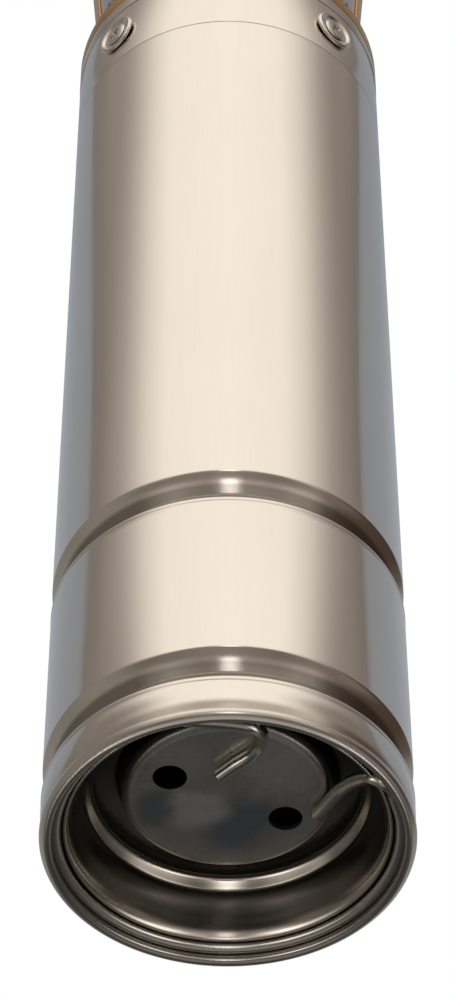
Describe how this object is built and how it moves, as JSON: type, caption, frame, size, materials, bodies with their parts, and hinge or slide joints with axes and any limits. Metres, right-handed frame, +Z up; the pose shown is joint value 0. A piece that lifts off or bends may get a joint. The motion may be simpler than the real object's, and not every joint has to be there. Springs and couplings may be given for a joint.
{
  "type": "borehole submersible pump",
  "caption": "Slim upright pump with a grooved steel motor tube, sprung end cover, brass intake with strainers, staged casing and threaded outlet; it lifts water from a well.",
  "frame": {"origin": "centre of the motor shell's lower rim, on the pump's axis", "axes": "+Z up along the pump's axis to the outlet, -Y towards the viewer, +X to the viewer's right"},
  "size_m": [0.09, 0.09, 0.5937],
  "materials": {
    "stainless_tube": "drawn stainless tube, satin with fine lengthwise streaks",
    "stainless_pressing": "pressed stainless sheet, smooth",
    "spring_steel": "drawn stainless spring wire, bright",
    "fastener_steel": "stainless fasteners, bright",
    "bearing_steel": "ground bearing steel",
    "shaft_steel": "turned stainless bar",
    "core_steel": "stacked electrical steel, blued",
    "copper_winding": "lacquered copper wire",
    "rotor_aluminium": "die-cast aluminium cage on steel laminations",
    "cast_iron": "cast iron, machined where it fits",
    "cast_steel": "stainless casting, turned outside",
    "brass": "brass casting, turned where it fits",
    "rubber": "black nitrile rubber, matt",
    "ceramic": "fired ceramic, lapped",
    "stage_plastic": "moulded glass-filled plastic, black",
    "impeller_plastic": "moulded plastic, ivory"
  },
  "bodies": {
    "pump_body": {"motor_shell": "stainless_tube", "snap_ring": "spring_steel", "clamp_ring": "stainless_pressing", "end_cover": "stainless_pressing", "diaphragm": "rubber", "lower_bracket": "cast_iron", "bracket_oring": "rubber", "lower_bearing_outer": "bearing_steel", "upper_bearing_outer": "bearing_steel", "stator_core": "core_steel", "stator_winding": "copper_winding", "motor_head": "cast_steel", "head_oring": "rubber", "joint_sleeve": "stainless_tube", "cup_washer_1": "fastener_steel", "cup_washer_2": "fastener_steel", "cup_washer_3": "fastener_steel", "cup_washer_4": "fastener_steel", "sleeve_screw_1": "fastener_steel", "sleeve_screw_2": "fastener_steel", "sleeve_screw_3": "fastener_steel", "sleeve_screw_4": "fastener_steel", "seal_seat": "ceramic", "intake_bracket": "brass", "cable_gland": "rubber", "bracket_bolt_1": "fastener_steel", "bracket_bolt_2": "fastener_steel", "bracket_bolt_3": "fastener_steel", "bracket_bolt_4": "fastener_steel", "strainer_front": "stainless_pressing", "strainer_back_right": "stainless_pressing", "strainer_back_left": "stainless_pressing", "diffuser_1": "stage_plastic", "diffuser_2": "stage_plastic", "diffuser_3": "stage_plastic", "diffuser_4": "stage_plastic", "pump_casing": "stainless_tube", "discharge_head": "brass", "top_bush": "rubber", "check_valve_guide": "brass", "check_valve_spring": "spring_steel"},
    "rotor": {"motor_shaft": "shaft_steel", "rotor_core": "rotor_aluminium", "lower_bearing_inner": "bearing_steel", "upper_bearing_inner": "bearing_steel", "seal_head": "stainless_pressing", "seal_spring": "spring_steel", "sand_slinger": "rubber", "shaft_coupling": "shaft_steel", "pump_shaft": "shaft_steel", "impeller_1": "impeller_plastic", "impeller_2": "impeller_plastic", "impeller_3": "impeller_plastic", "impeller_4": "impeller_plastic"},
    "lower_cage": {"lower_bearing_balls": "bearing_steel"},
    "upper_cage": {"upper_bearing_balls": "bearing_steel"},
    "check_valve": {"check_valve_poppet": "brass", "check_valve_seal": "rubber"}
  },
  "joints": [
    {"name": "rotor_spin", "type": "hinge", "parent": "pump_body", "child": "rotor", "pos_m": [0, 0, 0.1], "axis": [0, 0, 1], "continuous": true},
    {"name": "lower_cage_spin", "type": "hinge", "parent": "pump_body", "child": "lower_cage", "pos_m": [0, 0, 0.0573], "axis": [0, 0, 1], "continuous": true},
    {"name": "upper_cage_spin", "type": "hinge", "parent": "pump_body", "child": "upper_cage", "pos_m": [0, 0, 0.27675], "axis": [0, 0, 1], "continuous": true},
    {"name": "valve_lift", "type": "slide", "parent": "pump_body", "child": "check_valve", "axis": [0, 0, 1], "range_m": [0, 0.008], "stiffness_N_per_m": 100, "springref_m": -0.01, "deforming": ["check_valve_spring"]}
  ],
  "couplings": [
    {"joint": "lower_cage_spin", "follows": "rotor_spin", "ratio": 0.4},
    {"joint": "upper_cage_spin", "follows": "rotor_spin", "ratio": 0.4}
  ]
}
